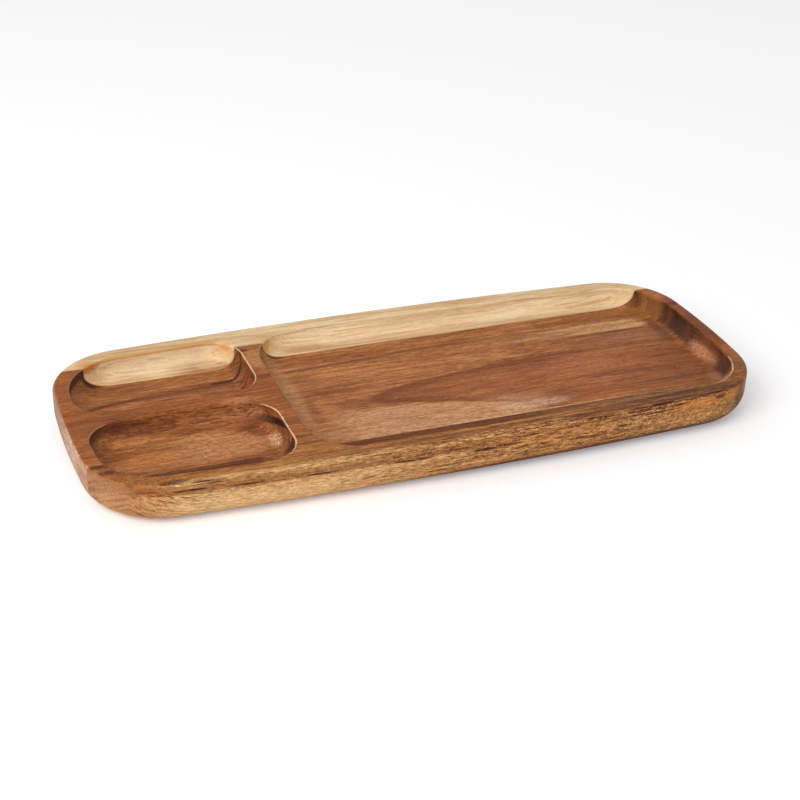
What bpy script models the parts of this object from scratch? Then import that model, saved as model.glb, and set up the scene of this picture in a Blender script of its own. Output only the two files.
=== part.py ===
"""Compartment serving tray, for Blender 4.5: metres, +Z up, +X along the tray, +Y towards its rear.

Three hardwood staves are glued edge to edge into one blank. The blank is sawn to a bowed outline, its edges
are rounded, and three coved pockets are routed into its top. The origin is the middle of the resting face.
"""

import math

import bmesh
import bpy
import numpy as np

# Overall size
LENGTH = 0.380
WIDTH = 0.159
HEIGHT = 0.024

# Outline seen from above: each side bows out a little
LONG_SIDE_RADIUS = 2.600
END_RADIUS = 0.545
CORNER_RADIUS = 0.042

# Rounded outer edges
FOOT_ROUND = 0.0124
RIM_ROUND = 0.0022

# Staves: the centre one fills what the outer two leave
REAR_STAVE_WIDTH = 0.0232
FRONT_STAVE_WIDTH = 0.0335
GLUE_GAP = 0.0003

# Rims and dividers, from wall to wall
END_RIM = 0.0086
SIDE_RIM = 0.0105
CROSS_DIVIDER = 0.0089
LONG_DIVIDER = 0.0110

# Pockets
SMALL_POCKET_LENGTH = 0.0998
LARGE_POCKET_DEPTH = 0.0104
REAR_POCKET_DEPTH = 0.0128
FRONT_POCKET_DEPTH = 0.0105
COVE_RADIUS = 0.0090
POCKET_EDGE_ROUND = 0.0012
DIVIDER_CORNER_RADIUS = 0.0184

# How much tighter the pockets turn than the outline's corners that they follow
CORNER_TIGHTENING = 0.0116
REAR_CORNER_TIGHTENING = 0.0075

# The most of a side that its two round corners may take up
CORNERS_SHARE = 0.95

# How far cutters run past what they cut, and how near two points are one
OVERRUN = 0.010
WELD_DISTANCE = 0.00003

# Facets
CORNER_STEPS = 10
SIDE_STEPS = 8
FOOT_STEPS = 8
COVE_STEPS = 7
EDGE_STEPS = 3
FITTING_ROUNDS = 20

# Least angle of an edge to round, least angle that is shaded sharp, and how far a flat face may lean
EDGE_ANGLE = math.radians(60)
SHARP_ANGLE = math.radians(35)
FLAT_ANGLE = math.radians(10)

# Woods: linear colour and roughness
WOODS = {
    "rear_stave": ((0.67, 0.47, 0.26), 0.48),
    "centre_stave": ((0.34, 0.135, 0.062), 0.45),
    "front_stave": ((0.42, 0.20, 0.075), 0.45),
}

FRONT, REAR = -WIDTH / 2, WIDTH / 2
LEFT_END, RIGHT_END = -LENGTH / 2, LENGTH / 2
REAR_GLUE_LINE = REAR - REAR_STAVE_WIDTH
FRONT_GLUE_LINE = FRONT + FRONT_STAVE_WIDTH
UP, DOWN = np.array([0.0, 1.0]), np.array([0.0, -1.0])
TO_RIGHT, TO_LEFT = np.array([1.0, 0.0]), np.array([-1.0, 0.0])


class StraightSide:
    """A straight side of an outline, known by one point on it and the direction that faces inwards."""

    steps = 1

    def __init__(self, point, inward):
        self.point = point
        self.inward = inward

    def depth(self, place):
        """How far inside this side a place is, and the way further in from there."""
        return float(np.dot(place - self.point, self.inward)), self.inward


class BowedSide:
    """A side that bows outwards on a large circle. A rim moves it inwards and keeps the circle's centre."""

    steps = SIDE_STEPS

    def __init__(self, middle, inward, radius, rim=0.0):
        self.centre = middle + inward * radius
        self.radius = radius - rim

    def depth(self, place):
        """How far inside this side a place is, and the way further in from there."""
        way = self.centre - place
        reach = float(np.linalg.norm(way))
        return self.radius - reach, way / reach


def bowed_end(x, inward, rim=0.0):
    return BowedSide(np.array([x, 0.0]), inward, END_RADIUS, rim)


def bowed_long_side(y, inward, rim=0.0):
    return BowedSide(np.array([0.0, y]), inward, LONG_SIDE_RADIUS, rim)


def corner_arc(first, second, radius):
    """Points of the round corner that touches two sides, from the first side round to the second."""
    centre = np.zeros(2)
    for _ in range(FITTING_ROUNDS):
        depth_a, in_a = first.depth(centre)
        depth_b, in_b = second.depth(centre)
        centre = centre + np.linalg.solve([in_a, in_b], [radius - depth_a, radius - depth_b])
    start = math.atan2(-in_a[1], -in_a[0])
    turn = (math.atan2(-in_b[1], -in_b[0]) - start) % math.tau
    angles = [start + turn * step / CORNER_STEPS for step in range(CORNER_STEPS + 1)]
    return [centre + radius * np.array([math.cos(angle), math.sin(angle)]) for angle in angles]


def radii_with_room(sides, corner_radii):
    """The corner radii, smaller where two corners would meet along a short side."""
    count = len(sides)
    points = [corner_arc(sides[i], sides[(i + 1) % count], 0.0)[0] for i in range(count)]
    radii = list(corner_radii)
    for i in range(count):
        pair = (i, (i + 1) % count)
        room = CORNERS_SHARE * float(np.linalg.norm(points[pair[1]] - points[pair[0]]))
        share = room / sum(corner_radii[corner] for corner in pair)
        for corner in pair:
            radii[corner] = min(radii[corner], corner_radii[corner] * share)
    return radii


def outline(sides, corner_radii):
    """The closed outline inside some sides, named anticlockwise, with a round corner after each side."""
    count = len(sides)
    radii = radii_with_room(sides, corner_radii)
    corners = [corner_arc(sides[i], sides[(i + 1) % count], radii[i]) for i in range(count)]
    points = []
    for i, corner in enumerate(corners):
        points += corner
        side, last, following = sides[(i + 1) % count], corner[-1], corners[(i + 1) % count][0]
        for step in range(1, side.steps):
            place = last + (following - last) * step / side.steps
            depth, inward = side.depth(place)
            points.append(place - inward * depth)
    return points


def tray_outline():
    sides = [
        bowed_end(RIGHT_END, TO_LEFT),
        bowed_long_side(REAR, DOWN),
        bowed_end(LEFT_END, TO_RIGHT),
        bowed_long_side(FRONT, UP),
    ]
    return outline(sides, [CORNER_RADIUS] * 4)


def pocket_outlines():
    """Each pocket's walls: they follow the tray's outline at the rim, and are straight at a divider."""
    small_end = LEFT_END + END_RIM + SMALL_POCKET_LENGTH
    large_end = small_end + CROSS_DIVIDER
    rear_wall = bowed_long_side(REAR, DOWN, SIDE_RIM)
    front_wall = bowed_long_side(FRONT, UP, SIDE_RIM)
    left_wall = bowed_end(LEFT_END, TO_RIGHT, END_RIM)
    right_wall = bowed_end(RIGHT_END, TO_LEFT, END_RIM)
    small_divider_wall = StraightSide(np.array([small_end, 0.0]), TO_LEFT)
    large_divider_wall = StraightSide(np.array([large_end, 0.0]), TO_RIGHT)
    rear_of_divider = StraightSide(np.array([0.0, LONG_DIVIDER / 2]), UP)
    front_of_divider = StraightSide(np.array([0.0, -LONG_DIVIDER / 2]), DOWN)
    rim, rear_rim = CORNER_RADIUS - CORNER_TIGHTENING, CORNER_RADIUS - REAR_CORNER_TIGHTENING
    divider = DIVIDER_CORNER_RADIUS
    large = [right_wall, rear_wall, large_divider_wall, front_wall]
    rear = [small_divider_wall, rear_wall, left_wall, rear_of_divider]
    front = [small_divider_wall, front_of_divider, left_wall, front_wall]
    return {
        "large": outline(large, [rim, rim, rim, rim]),
        "rear": outline(rear, [divider, rear_rim, divider, divider]),
        "front": outline(front, [divider, divider, rim, divider]),
    }


def new_collection(name):
    collection = bpy.data.collections.new(name)
    bpy.context.scene.collection.children.link(collection)
    return collection


def new_object(name, mesh, collection):
    thing = bpy.data.objects.new(name, mesh)
    collection.objects.link(thing)
    return thing


def evaluated_mesh(thing):
    """The mesh that an object's curve or modifiers make."""
    bpy.context.view_layer.update()
    return bpy.data.meshes.new_from_object(thing.evaluated_get(bpy.context.evaluated_depsgraph_get()))


def sharp_edges_at(shape, height):
    """The edges that lie at one height and where an upright face meets a level one."""
    return [
        edge
        for edge in shape.edges
        if all(abs(vert.co.z - height) < WELD_DISTANCE for vert in edge.verts)
        and len(edge.link_faces) == 2
        and edge.calc_face_angle(0.0) > EDGE_ANGLE
    ]


def round_edges(shape, height, radius, steps):
    bmesh.ops.bevel(
        shape,
        geom=sharp_edges_at(shape, height),
        offset=radius,
        offset_type="OFFSET",
        segments=steps,
        profile=0.5,
        affect="EDGES",
    )


def slab(name, points, low, high, collection):
    """A flat outline pulled up between two heights, with one whole face at the top and one at the bottom."""
    curve = bpy.data.curves.new(name, "CURVE")
    curve.dimensions = "2D"
    curve.fill_mode = "BOTH"
    curve.extrude = (high - low) / 2
    spline = curve.splines.new("POLY")
    spline.points.add(len(points) - 1)
    for point, (x, y) in zip(spline.points, points):
        point.co = (x, y, 0.0, 1.0)
    spline.use_cyclic_u = True
    drawn = new_object(name + "_outline", curve, collection)
    mesh = evaluated_mesh(drawn)
    bpy.data.objects.remove(drawn)
    shape = bmesh.new()
    shape.from_mesh(mesh)
    bmesh.ops.translate(shape, vec=(0.0, 0.0, (high + low) / 2), verts=shape.verts)
    bmesh.ops.remove_doubles(shape, verts=shape.verts, dist=WELD_DISTANCE)
    for way in (1.0, -1.0):
        cap = [face for face in shape.faces if face.normal.z * way > math.cos(FLAT_ANGLE)]
        bmesh.ops.dissolve_faces(shape, faces=cap)
    bmesh.ops.recalc_face_normals(shape, faces=shape.faces)
    return shape


def finish_mesh(shape, name):
    mesh = bpy.data.meshes.new(name)
    shape.to_mesh(mesh)
    shape.free()
    return mesh


def as_cutter(thing):
    thing.hide_render = True
    thing.display_type = "WIRE"
    return thing


def cut_with(thing, cutter, operation):
    cut = thing.modifiers.new(cutter.name, "BOOLEAN")
    cut.operation = operation
    cut.solver = "EXACT"
    cut.object = cutter


def pocket_cutter(name, points, depth, collection):
    """What the router takes out of one pocket: upright walls that curve into a flat floor."""
    floor = HEIGHT - depth
    shape = slab(name, points, floor, HEIGHT + OVERRUN, collection)
    round_edges(shape, floor, COVE_RADIUS, COVE_STEPS)
    return as_cutter(new_object(name, finish_mesh(shape, name), collection))


def routed_blank(collection):
    """The whole tray before it is told apart into staves: outline, rounded edges and pockets."""
    shape = slab("blank", tray_outline(), 0.0, HEIGHT, collection)
    round_edges(shape, 0.0, FOOT_ROUND, FOOT_STEPS)
    round_edges(shape, HEIGHT, RIM_ROUND, EDGE_STEPS)
    blank = as_cutter(new_object("blank", finish_mesh(shape, "blank"), collection))
    depths = {"large": LARGE_POCKET_DEPTH, "rear": REAR_POCKET_DEPTH, "front": FRONT_POCKET_DEPTH}
    for name, points in pocket_outlines().items():
        cut_with(blank, pocket_cutter(name + "_pocket", points, depths[name], collection), "DIFFERENCE")
    shape = bmesh.new()
    shape.from_mesh(evaluated_mesh(blank))
    round_edges(shape, HEIGHT, POCKET_EDGE_ROUND, EDGE_STEPS)
    return finish_mesh(shape, "routed_blank")


def stave_block(name, front, rear, collection):
    """The space that one stave fills, from glue line to glue line."""
    block = bmesh.new()
    bmesh.ops.create_cube(block, size=1.0)
    bmesh.ops.scale(block, vec=(LENGTH + 2 * OVERRUN, rear - front, HEIGHT + 2 * OVERRUN), verts=block.verts)
    bmesh.ops.translate(block, vec=(0.0, (rear + front) / 2, HEIGHT / 2), verts=block.verts)
    return as_cutter(new_object(name, finish_mesh(block, name), collection))


def wood(name):
    colour, roughness = WOODS[name]
    material = bpy.data.materials.new(name + "_wood")
    material.use_nodes = True
    surface = material.node_tree.nodes["Principled BSDF"]
    surface.inputs["Base Color"].default_value = (*colour, 1.0)
    surface.inputs["Roughness"].default_value = roughness
    surface.inputs["Metallic"].default_value = 0.0
    return material


def build():
    for thing in list(bpy.data.objects):
        bpy.data.objects.remove(thing)
    tray = new_collection("compartment_tray")
    cutters = new_collection("cutters")
    routed = routed_blank(cutters)
    half_gap = GLUE_GAP / 2
    staves = {
        "front_stave": (FRONT - OVERRUN, FRONT_GLUE_LINE - half_gap),
        "centre_stave": (FRONT_GLUE_LINE + half_gap, REAR_GLUE_LINE - half_gap),
        "rear_stave": (REAR_GLUE_LINE + half_gap, REAR + OVERRUN),
    }
    for name, (front, rear) in staves.items():
        stave = new_object(name, routed.copy(), tray)
        stave.data.name = name
        stave.data.materials.append(wood(name))
        cut_with(stave, stave_block(name + "_block", front, rear, cutters), "INTERSECT")
        stave.data.shade_smooth()
        stave.data.set_sharp_from_angle(angle=SHARP_ANGLE)


build()
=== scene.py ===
# %% [markdown]
# # A compartment tray of glued hardwood staves
# The tray is one wooden blank, glued up from three staves, with a bowed outline, rounded edges and three
# coved pockets. Its character is in the wood: pale sapwood at the rear, reddish heartwood with an arch of
# growth rings in the middle, and a golden, streaky stave at the front. This lesson takes the packed
# solids as its frame, shows each one as a finer board, and spends most of its lines on the wood.

# %% Load the frame
import math

import bmesh
import bpy
import numpy as np
from mathutils import Matrix, Vector


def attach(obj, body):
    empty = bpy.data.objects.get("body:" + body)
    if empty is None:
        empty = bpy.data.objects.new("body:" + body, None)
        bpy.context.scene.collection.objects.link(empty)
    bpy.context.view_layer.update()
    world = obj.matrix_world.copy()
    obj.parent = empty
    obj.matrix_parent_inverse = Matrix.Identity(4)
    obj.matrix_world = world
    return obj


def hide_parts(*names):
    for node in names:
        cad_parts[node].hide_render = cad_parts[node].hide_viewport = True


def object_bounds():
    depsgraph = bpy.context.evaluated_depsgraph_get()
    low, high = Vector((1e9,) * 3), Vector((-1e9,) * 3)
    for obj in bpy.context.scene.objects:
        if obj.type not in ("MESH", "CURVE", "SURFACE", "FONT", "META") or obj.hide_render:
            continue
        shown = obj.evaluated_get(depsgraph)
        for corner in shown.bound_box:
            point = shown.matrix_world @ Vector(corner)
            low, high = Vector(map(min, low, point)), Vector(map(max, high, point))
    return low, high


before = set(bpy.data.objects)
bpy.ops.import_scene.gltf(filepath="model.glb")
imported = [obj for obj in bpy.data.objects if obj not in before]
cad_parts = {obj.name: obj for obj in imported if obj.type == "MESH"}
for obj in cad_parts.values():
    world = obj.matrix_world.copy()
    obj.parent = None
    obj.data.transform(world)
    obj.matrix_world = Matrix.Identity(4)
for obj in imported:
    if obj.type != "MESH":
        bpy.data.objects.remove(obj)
cad_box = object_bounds()
print("solids:", sorted(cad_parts), "box:", [round(v, 4) for corner in cad_box for v in corner])

# %% [markdown]
# ## Sizes
# The boards repeat the solids' sizes, in metres, and take length, width and height from their box. A
# Subdivision modifier on the solids would be smooth too, but it would round the crisp meeting of wall and
# rim, so the form is drawn again in finer steps.

# %% Sizes of the tray
MM = 0.001
LENGTH, WIDTH, HEIGHT = (round(high - low, 4) for low, high in zip(*cad_box))
LONG_SIDE_RADIUS, END_RADIUS, CORNER_RADIUS = 2.600, 0.545, 0.042
FOOT_ROUND, RIM_ROUND = 0.0124, 0.0022
END_RIM, SIDE_RIM, CROSS_DIVIDER, LONG_DIVIDER = 0.0086, 0.0105, 0.0089, 0.0110
SMALL_POCKET_LENGTH = 0.0998
POCKET_DEPTHS = {"large": 0.0104, "rear": 0.0128, "front": 0.0105}
COVE_RADIUS, POCKET_EDGE_ROUND = 0.0090, 0.0012
RIM_CORNER, REAR_RIM_CORNER = (round(CORNER_RADIUS - tighter, 4) for tighter in (0.0116, 0.0075))
DIVIDER_CORNER = 0.0184
REAR_GLUE_LINE, FRONT_GLUE_LINE = 0.0563, -0.0460
SEAM = 0.00001
FLAT_STRIP = 0.0003
print("length, width and height:", LENGTH, WIDTH, HEIGHT)

# %% [markdown]
# ## Outlines that can be set in
# Every wall and rounded edge is the tray's outline again, set in or out and put at another height. A
# spline would bulge when it is set in. So an outline is four sides with round corners between them, and a
# side only tells how deep a place lies behind it and which way is inwards: a divider's side is straight,
# a rim's bowed.


# %% Straight and bowed sides
class StraightSide:
    """A side at a divider."""

    def __init__(self, point, inward):
        self.point, self.inward = np.array(point), np.array(inward)

    def depth(self, place):
        return float(np.dot(place - self.point, self.inward)), self.inward


class BowedSide:
    """A side that bows outwards on a large circle."""

    def __init__(self, middle, inward, radius, rim=0.0):
        self.centre, self.radius = np.array(middle) + np.array(inward) * radius, radius - rim

    def depth(self, place):
        way = self.centre - place
        reach = float(np.linalg.norm(way))
        return self.radius - reach, way / reach


def tray_sides(end_rim=0.0, side_rim=0.0):
    """Right, rear, left and front side of the tray, moved in by the width of a rim."""
    return [
        BowedSide((LENGTH / 2, 0.0), (-1.0, 0.0), END_RADIUS, end_rim),
        BowedSide((0.0, WIDTH / 2), (0.0, -1.0), LONG_SIDE_RADIUS, side_rim),
        BowedSide((-LENGTH / 2, 0.0), (1.0, 0.0), END_RADIUS, end_rim),
        BowedSide((0.0, -WIDTH / 2), (0.0, 1.0), LONG_SIDE_RADIUS, side_rim),
    ]


print("the middle lies behind the sides by", [round(side.depth(np.zeros(2))[0], 4) for side in tray_sides()])

# %% [markdown]
# A round corner's centre lies one radius deep behind both its sides. Trigonometry finds it between
# straight lines; between bowed ones it is simpler to start in the middle and correct both depths a few
# times.

# %% A corner between two sides
FITTING_ROUNDS = 20


def corner_between(first, second, radius):
    """Centre, radius, first angle and turn of the round corner that touches both sides."""
    centre = np.zeros(2)
    for _ in range(FITTING_ROUNDS):
        (depth_a, in_a), (depth_b, in_b) = first.depth(centre), second.depth(centre)
        centre = centre + np.linalg.solve([in_a, in_b], [radius - depth_a, radius - depth_b])
    start = math.atan2(-in_a[1], -in_a[0])
    return centre, radius, start, (math.atan2(-in_b[1], -in_b[0]) - start) % math.tau


right_side, rear_side, _, _ = tray_sides()
print("centre of the rear right corner:", corner_between(right_side, rear_side, CORNER_RADIUS)[0].round(4))

# %% [markdown]
# Setting an outline in moves its sides and tightens its corners. The number of points stays the same, so
# two rings can be joined by a strip of quads, which Blender's own curve offset would not promise.

# %% An outline and its rings
CORNER_STEPS, SIDE_STEPS = 18, 14


class Outline:
    """Four sides, named anticlockwise, with a round corner after each."""

    def __init__(self, sides, radii):
        self.sides = sides
        self.corners = [corner_between(sides[i], sides[(i + 1) % 4], radii[i]) for i in range(4)]

    def ring(self, inset):
        """The outline's points, set in by a distance."""
        arcs = []
        for centre, radius, start, turn in self.corners:
            angles = start + turn * np.linspace(0.0, 1.0, CORNER_STEPS + 1)
            arcs.append(centre + (radius - inset) * np.column_stack([np.cos(angles), np.sin(angles)]))
        points = []
        for i, arc in enumerate(arcs):
            side, following = self.sides[(i + 1) % 4], arcs[(i + 1) % 4][0]
            points.extend(arc)
            for share in np.linspace(0.0, 1.0, SIDE_STEPS + 1)[1:-1]:
                place = arc[-1] + (following - arc[-1]) * share
                depth, inward = side.depth(place)
                points.append(place + inward * (inset - depth))
        return points


body_outline = Outline(tray_sides(), [CORNER_RADIUS] * 4)
print("points on an outline:", len(body_outline.ring(0.0)))

# %% [markdown]
# The pockets' sides could be traced one by one, but the rim looks even only where a pocket's side is the
# tray's own side, moved in by the rim's width.

# %% Outlines of the pockets
right, rear, left, front = tray_sides(END_RIM, SIDE_RIM)
small_end = -LENGTH / 2 + END_RIM + SMALL_POCKET_LENGTH
small_wall = StraightSide((small_end, 0.0), (-1.0, 0.0))
large_wall = StraightSide((small_end + CROSS_DIVIDER, 0.0), (1.0, 0.0))
behind_divider = StraightSide((0.0, LONG_DIVIDER / 2), (0.0, 1.0))
before_divider = StraightSide((0.0, -LONG_DIVIDER / 2), (0.0, -1.0))
tight = DIVIDER_CORNER
pocket_outlines = {
    "large": Outline([right, rear, large_wall, front], [RIM_CORNER] * 4),
    "rear": Outline([small_wall, rear, left, behind_divider], [tight, REAR_RIM_CORNER, tight, tight]),
    "front": Outline([small_wall, before_divider, left, front], [tight, tight, RIM_CORNER, tight]),
}
print("pockets:", list(pocket_outlines))

# %% [markdown]
# ## Profiles
# A profile says how far in and how high each ring lies. The body's runs from the flat underside round the
# wide lower edge and over the small upper edge. A pocket's rolls over its edge, drops down the wall and
# sweeps through the cove to the floor, as a round router bit leaves it. A Bevel modifier could round
# these edges too, but rings keep every radius exact, and a narrow flat strip beside each curve keeps its
# shading clean.

# %% Profiles of the body and the pockets
FOOT_STEPS, RIM_STEPS, EDGE_STEPS, COVE_STEPS = 14, 7, 6, 14


def quarter(radius, steps):
    """Points of a quarter turn: one number falls from the radius to 0 while the other rises from 0."""
    angles = np.linspace(0.0, math.pi / 2, steps + 1)
    return [(radius * (1 - math.sin(angle)), radius * (1 - math.cos(angle))) for angle in angles]


def body_profile():
    """Inset and height of each ring, from the underside to the top of the rim."""
    rings = [(FOOT_ROUND + FLAT_STRIP, 0.0)] + quarter(FOOT_ROUND, FOOT_STEPS)
    rings += [(0.0, FOOT_ROUND + FLAT_STRIP), (0.0, HEIGHT - RIM_ROUND - FLAT_STRIP)]
    rings += [(rising, HEIGHT - falling) for falling, rising in quarter(RIM_ROUND, RIM_STEPS)]
    return rings + [(RIM_ROUND + FLAT_STRIP, HEIGHT)]


def pocket_profile(depth):
    """Inset and height of each ring, from the top of the rim to the pocket's floor."""
    floor_height = HEIGHT - depth
    rings = [(-POCKET_EDGE_ROUND - FLAT_STRIP, HEIGHT)]
    rings += [(-falling, HEIGHT - rising) for falling, rising in quarter(POCKET_EDGE_ROUND, EDGE_STEPS)]
    rings += [(rising, floor_height + falling) for falling, rising in quarter(COVE_RADIUS, COVE_STEPS)]
    return rings + [(COVE_RADIUS + FLAT_STRIP, floor_height)]


print("rings:", len(body_profile()), "on the body,", len(pocket_profile(0.01)), "in a pocket")

# %% [markdown]
# ## One blank, then three staves
# The real tray is milled from one glued blank, so the form is drawn whole: rings become walls, and the
# flat faces between them are filled. Booleans could cut the pockets; joined rings leave even strips of
# quads.


# %% The blank
def add_walls(shape, outline, profile):
    """Adds the rings of a profile and the quads between them, and gives back the first and last ring."""
    rings = [[shape.verts.new((x, y, z)) for x, y in outline.ring(inset)] for inset, z in profile]
    for low, high in zip(rings, rings[1:]):
        for i in range(len(low)):
            j = (i + 1) % len(low)
            shape.faces.new((low[i], low[j], high[j], high[i]))
    return rings[0], rings[-1]


def ring_edges(shape, ring):
    return [shape.edges.get((ring[i], ring[(i + 1) % len(ring)])) for i in range(len(ring))]


def blank():
    shape = bmesh.new()
    underside, top = add_walls(shape, body_outline, body_profile())
    shape.faces.new(reversed(underside))
    top_edges = ring_edges(shape, top)
    for name, outline in pocket_outlines.items():
        edge, pocket_floor = add_walls(shape, outline, pocket_profile(POCKET_DEPTHS[name]))
        shape.faces.new(pocket_floor)
        top_edges += ring_edges(shape, edge)
    bmesh.ops.triangle_fill(shape, edges=top_edges, use_beauty=True, normal=(0.0, 0.0, 1.0))
    bmesh.ops.recalc_face_normals(shape, faces=shape.faces)
    return shape


whole = blank()
print("faces of the blank:", len(whole.faces))
whole.free()

# %% [markdown]
# The glue lines run straight along the whole tray. The blank is sliced along them with a bisect, and each
# cut is closed, so that every stave is a solid. A Boolean could do the same; a bisect leaves the rings as
# they are.

# %% Slicing a stave off the blank
CUT_TOLERANCE = 1e-7
CREASE_ANGLE = math.radians(40)


def slice_off(shape, y, keep_rear):
    """Cuts the shape along a glue line, drops what lies on one side and closes the cut."""
    cut = bmesh.ops.bisect_plane(
        shape,
        geom=shape.verts[:] + shape.edges[:] + shape.faces[:],
        dist=CUT_TOLERANCE,
        plane_co=(0.0, y, 0.0),
        plane_no=(0.0, 1.0, 0.0),
        clear_inner=keep_rear,
        clear_outer=not keep_rear,
    )
    edges = [part for part in cut["geom_cut"] if isinstance(part, bmesh.types.BMEdge)]
    bmesh.ops.holes_fill(shape, edges=edges, sides=0)


def stave(name, front_cut=None, rear_cut=None):
    """One board between its glue lines, as an object with smooth curves and crisp edges."""
    shape = blank()
    if front_cut is not None:
        slice_off(shape, front_cut + SEAM, keep_rear=True)
    if rear_cut is not None:
        slice_off(shape, rear_cut - SEAM, keep_rear=False)
    bmesh.ops.recalc_face_normals(shape, faces=shape.faces)
    loose = sum(1 for edge in shape.edges if len(edge.link_faces) != 2)
    mesh = bpy.data.meshes.new(name)
    shape.to_mesh(mesh)
    shape.free()
    mesh.shade_smooth()
    mesh.set_sharp_from_angle(angle=CREASE_ANGLE)
    board = bpy.data.objects.new(name, mesh)
    bpy.context.scene.collection.objects.link(board)
    print(name, len(mesh.polygons), "faces, open edges:", loose)
    return board


# %% [markdown]
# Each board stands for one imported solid. They could be one mesh with three materials, but the real staves
# are pieces of their own, so each board is an object and takes its own wood.

# %% Three staves
staves = {
    "rear": stave("sapwood_board", front_cut=REAR_GLUE_LINE),
    "centre": stave("heartwood_board", front_cut=FRONT_GLUE_LINE, rear_cut=REAR_GLUE_LINE),
    "front": stave("streaked_board", rear_cut=FRONT_GLUE_LINE),
}
for place, node, slot in [
    ("rear", "rear_stave", "sapwood"),
    ("centre", "centre_stave", "heartwood"),
    ("front", "front_stave", "streaked_wood"),
]:
    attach(staves[place], "root")
    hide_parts(node)

# %% [markdown]
# ## Writing a finish as arithmetic
# The wood's colours are noted as a picture's 0 to 255 numbers, and Blender's sockets want linear light. A
# colour picker would convert them one by one; the sRGB standard's curve does it here for all.


# %% Colours
def paint(red, green, blue):
    """A colour for a socket, from the 0 to 255 numbers of a picture."""
    shares = [value / 255 for value in (red, green, blue)]
    linear = [share / 12.92 if share <= 0.04045 else ((share + 0.055) / 1.055) ** 2.4 for share in shares]
    return (*linear, 1.0)


PAPER = paint(248, 248, 248)
print("white paper in linear light:", [round(value, 3) for value in PAPER])

# %% [markdown]
# Wood is easiest to think of as sums: a tone, plus rings, plus fibres, less the pores. Such a sum could
# be wired by hand from Math nodes. The small class below wraps a socket and adds a node for each
# operator.


# %% A socket that can be added and multiplied
class Socket:
    """An output that varies over the surface. Arithmetic on it adds Math nodes."""

    def __init__(self, finish, socket):
        self.finish, self.socket = finish, socket

    def with_math(self, operation, *values):
        return self.finish.node("ShaderNodeMath", {"operation": operation}, dict(enumerate(values)))

    def __add__(self, other):
        return self.with_math("ADD", self, other)

    def __radd__(self, other):
        return self.with_math("ADD", other, self)

    def __sub__(self, other):
        return self.with_math("SUBTRACT", self, other)

    def __rsub__(self, other):
        return self.with_math("SUBTRACT", other, self)

    def __mul__(self, other):
        return self.with_math("MULTIPLY", self, other)

    def __rmul__(self, other):
        return self.with_math("MULTIPLY", other, self)

    def __truediv__(self, other):
        return self.with_math("DIVIDE", self, other)

    def __pow__(self, other):
        return self.with_math("POWER", self, other)

    def __abs__(self):
        return self.with_math("ABSOLUTE", self)


# %% [markdown]
# Most of what lies on the wood is a mask: 1 inside some limits, 0 outside, and soft in between. It could
# be a painted image. Here it is a Map Range node with a smooth step, and two steps make a line or a
# window. Where a strength or a tone changes along the board, a colour ramp carries it.


# %% Soft steps, lines and curves
class Level(Socket):
    """A varying number or colour, and the soft masks and curves that can be made from it."""

    def step(self, low, high):
        """0 at low, 1 at high and a soft step between. Low may be above high, which turns the step round."""
        return self.finish.node(
            "ShaderNodeMapRange",
            {"interpolation_type": "SMOOTHSTEP"},
            {"Value": self, "From Min": low, "From Max": high},
        )

    def line(self, centre, core, soft):
        """1 within core of a centre, and fading to 0 over the soft distance outside it."""
        return abs(self - centre).step(core + soft, core)

    def window(self, low, high, soft):
        """1 from low to high, and fading to 0 over the soft distance on either side."""
        return self.line((low + high) / 2, (high - low) / 2, soft)

    def ramp(self, places, colours):
        """A colour ramp along the level, with a colour at each of these places."""
        start, end = places[0], places[-1]
        stops = [((place - start) / (end - start), colour) for place, colour in zip(places, colours)]
        limits = {"Value": self, "From Min": start, "From Max": end}
        along = self.finish.node("ShaderNodeMapRange", None, limits)
        return self.finish.node("ShaderNodeValToRGB", {"stops": stops}, {0: along})

    def curve(self, points):
        """A number that runs straight from point to point, each a place on the level and its value."""
        places, values = zip(*points)
        base, reach = min(values), max(values) - min(values)
        greys = [((value - base) / reach,) * 3 + (1.0,) for value in values]
        return self.ramp(places, greys) * reach + base

    def tones(self, points):
        """A colour that changes from point to point, each a place on the level and its colour."""
        places, colours = zip(*points)
        return self.ramp(places, [paint(*tone) for tone in colours])


# %% [markdown]
# A finish is a material with its nodes. One method makes any node: it sets the settings first, because
# they decide which sockets there are, and then fills or links the sockets. A function for each kind of
# node would say the same many times.

# %% A finish and its nodes
MIX_SHARE, MIX_BELOW, MIX_ABOVE, MIX_RESULT = 0, 6, 7, 2


def set_stops(ramp, stops):
    """Gives a colour ramp its stops, each a place from 0 to 1 and a colour."""
    while len(ramp.elements) < len(stops):
        ramp.elements.new(0.5)
    for element, (place, colour) in zip(ramp.elements, stops):
        element.position = place
        element.color = colour


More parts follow.
